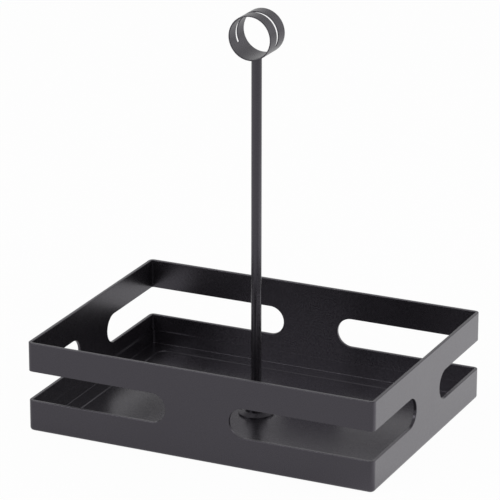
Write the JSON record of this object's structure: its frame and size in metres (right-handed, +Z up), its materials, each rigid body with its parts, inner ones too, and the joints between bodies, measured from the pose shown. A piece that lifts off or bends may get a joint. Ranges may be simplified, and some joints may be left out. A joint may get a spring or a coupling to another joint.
{
  "type": "table caddy",
  "caption": "Open rectangular sheet-steel table caddy with corner windows and a central rod handle ending in a slit card ring.",
  "frame": {"origin": "centre of the footprint, on the table that the feet stand on", "axes": "+X along the long front wall to the right, +Y to the back, +Z up along the rod"},
  "size_m": [0.22, 0.161, 0.2487],
  "materials": {
    "coated_steel": "fine satin black powder coat",
    "zinc_plated_steel": "bright zinc plate",
    "foot_rubber": "matt moulded rubber"
  },
  "bodies": {
    "root": {"wall_frame": "coated_steel", "floor_pan": "coated_steel", "handle_rod": "coated_steel", "rod_collar": "coated_steel", "card_ring": "coated_steel", "screw_washer": "zinc_plated_steel", "rod_screw": "zinc_plated_steel", "foot_front_left": "foot_rubber", "foot_front_right": "foot_rubber", "foot_back_left": "foot_rubber", "foot_back_right": "foot_rubber"}
  },
  "joints": []
}
